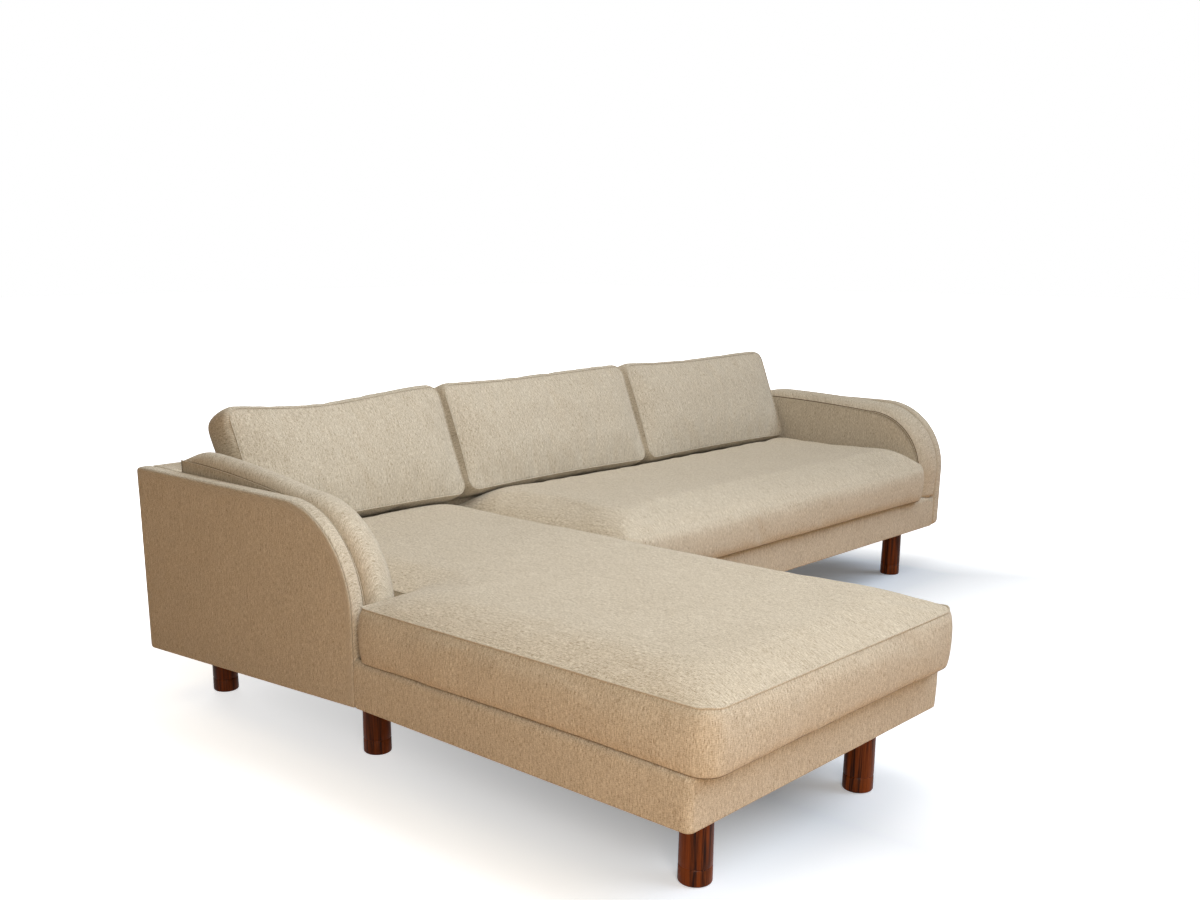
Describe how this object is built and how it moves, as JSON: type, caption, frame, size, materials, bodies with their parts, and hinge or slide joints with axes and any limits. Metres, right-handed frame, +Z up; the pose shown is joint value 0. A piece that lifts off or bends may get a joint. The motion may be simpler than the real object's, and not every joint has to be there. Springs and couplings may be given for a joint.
{
  "type": "sectional sofa",
  "caption": "Upholstered sectional sofa with a left chaise, rounded panel arms with inner bolsters, loose seat and back cushions and round turned wooden legs.",
  "frame": {"origin": "middle of the whole sofa's bounding box, on the floor", "axes": "+X along the sofa's width towards the arm without the chaise, -Y out of the front towards the sitter's feet, +Z up"},
  "size_m": [2.75, 1.86, 0.7838],
  "materials": {
    "upholstery": "heathered oatmeal tweed weave",
    "lining": "plain dark lining cloth",
    "webbing": "woven elastic webbing",
    "frame_timber": "planed softwood, unfinished",
    "plywood": "plywood, unfinished",
    "walnut": "satin lacquered walnut",
    "steel": "zinc plated",
    "felt": "pressed felt"
  },
  "bodies": {
    "chaise_module": {"chaise_front_rail": "frame_timber", "chaise_left_rail": "frame_timber", "chaise_arm_rail": "frame_timber", "chaise_right_rail": "frame_timber", "chaise_back_rail": "frame_timber", "chaise_cross_rails": "frame_timber", "chaise_leg_blocks": "frame_timber", "chaise_leg_bolts": "steel", "chaise_webbing": "webbing", "chaise_deck": "lining", "chaise_dust_cover": "lining", "chaise_front_border": "upholstery", "chaise_left_border": "upholstery", "chaise_right_border": "upholstery", "left_arm_board": "plywood", "left_arm_cover": "upholstery", "left_arm_bolster": "upholstery", "left_arm_bolts": "steel", "chaise_back_board": "plywood", "chaise_inside_back": "upholstery", "chaise_outside_back": "upholstery", "chaise_connectors": "steel", "chaise_front_left_leg": "walnut", "chaise_front_right_leg": "walnut", "left_arm_front_leg": "walnut", "left_arm_rear_leg": "walnut", "chaise_rear_right_leg": "walnut", "chaise_glides": "felt"},
    "sofa_module": {"sofa_front_rail": "frame_timber", "sofa_left_rail": "frame_timber", "sofa_right_rail": "frame_timber", "sofa_back_rail": "frame_timber", "sofa_cross_rails": "frame_timber", "sofa_leg_blocks": "frame_timber", "sofa_leg_bolts": "steel", "sofa_webbing": "webbing", "sofa_deck": "lining", "sofa_dust_cover": "lining", "sofa_front_border": "upholstery", "right_arm_board": "plywood", "right_arm_cover": "upholstery", "right_arm_bolster": "upholstery", "right_arm_bolts": "steel", "sofa_back_board": "plywood", "sofa_inside_back": "upholstery", "sofa_outside_back": "upholstery", "sofa_connectors": "steel", "sofa_front_left_leg": "walnut", "sofa_front_right_leg": "walnut", "sofa_rear_left_leg": "walnut", "sofa_rear_right_leg": "walnut", "sofa_glides": "felt"},
    "chaise_seat": {"chaise_cushion": "upholstery"},
    "bench_seat": {"bench_cushion": "upholstery"},
    "left_back": {"left_back_cushion": "upholstery"},
    "middle_back": {"middle_back_cushion": "upholstery"},
    "right_back": {"right_back_cushion": "upholstery"}
  },
  "joints": [
    {"name": "sofa_unhook", "type": "slide", "parent": "chaise_module", "child": "sofa_module", "axis": [0, 0, 1], "range_m": [0, 0.08]},
    {"name": "chaise_cushion_out", "type": "slide", "parent": "chaise_module", "child": "chaise_seat", "axis": [0, -1, 0], "range_m": [0, 0.3]},
    {"name": "bench_cushion_out", "type": "slide", "parent": "sofa_module", "child": "bench_seat", "axis": [0, -1, 0], "range_m": [0, 0.3]},
    {"name": "left_back_cushion_up", "type": "slide", "parent": "chaise_module", "child": "left_back", "axis": [0, 0.3746, 0.9272], "range_m": [0, 0.25]},
    {"name": "middle_back_cushion_up", "type": "slide", "parent": "sofa_module", "child": "middle_back", "axis": [0, 0.3746, 0.9272], "range_m": [0, 0.25]},
    {"name": "right_back_cushion_up", "type": "slide", "parent": "sofa_module", "child": "right_back", "axis": [0, 0.3746, 0.9272], "range_m": [0, 0.25]}
  ]
}
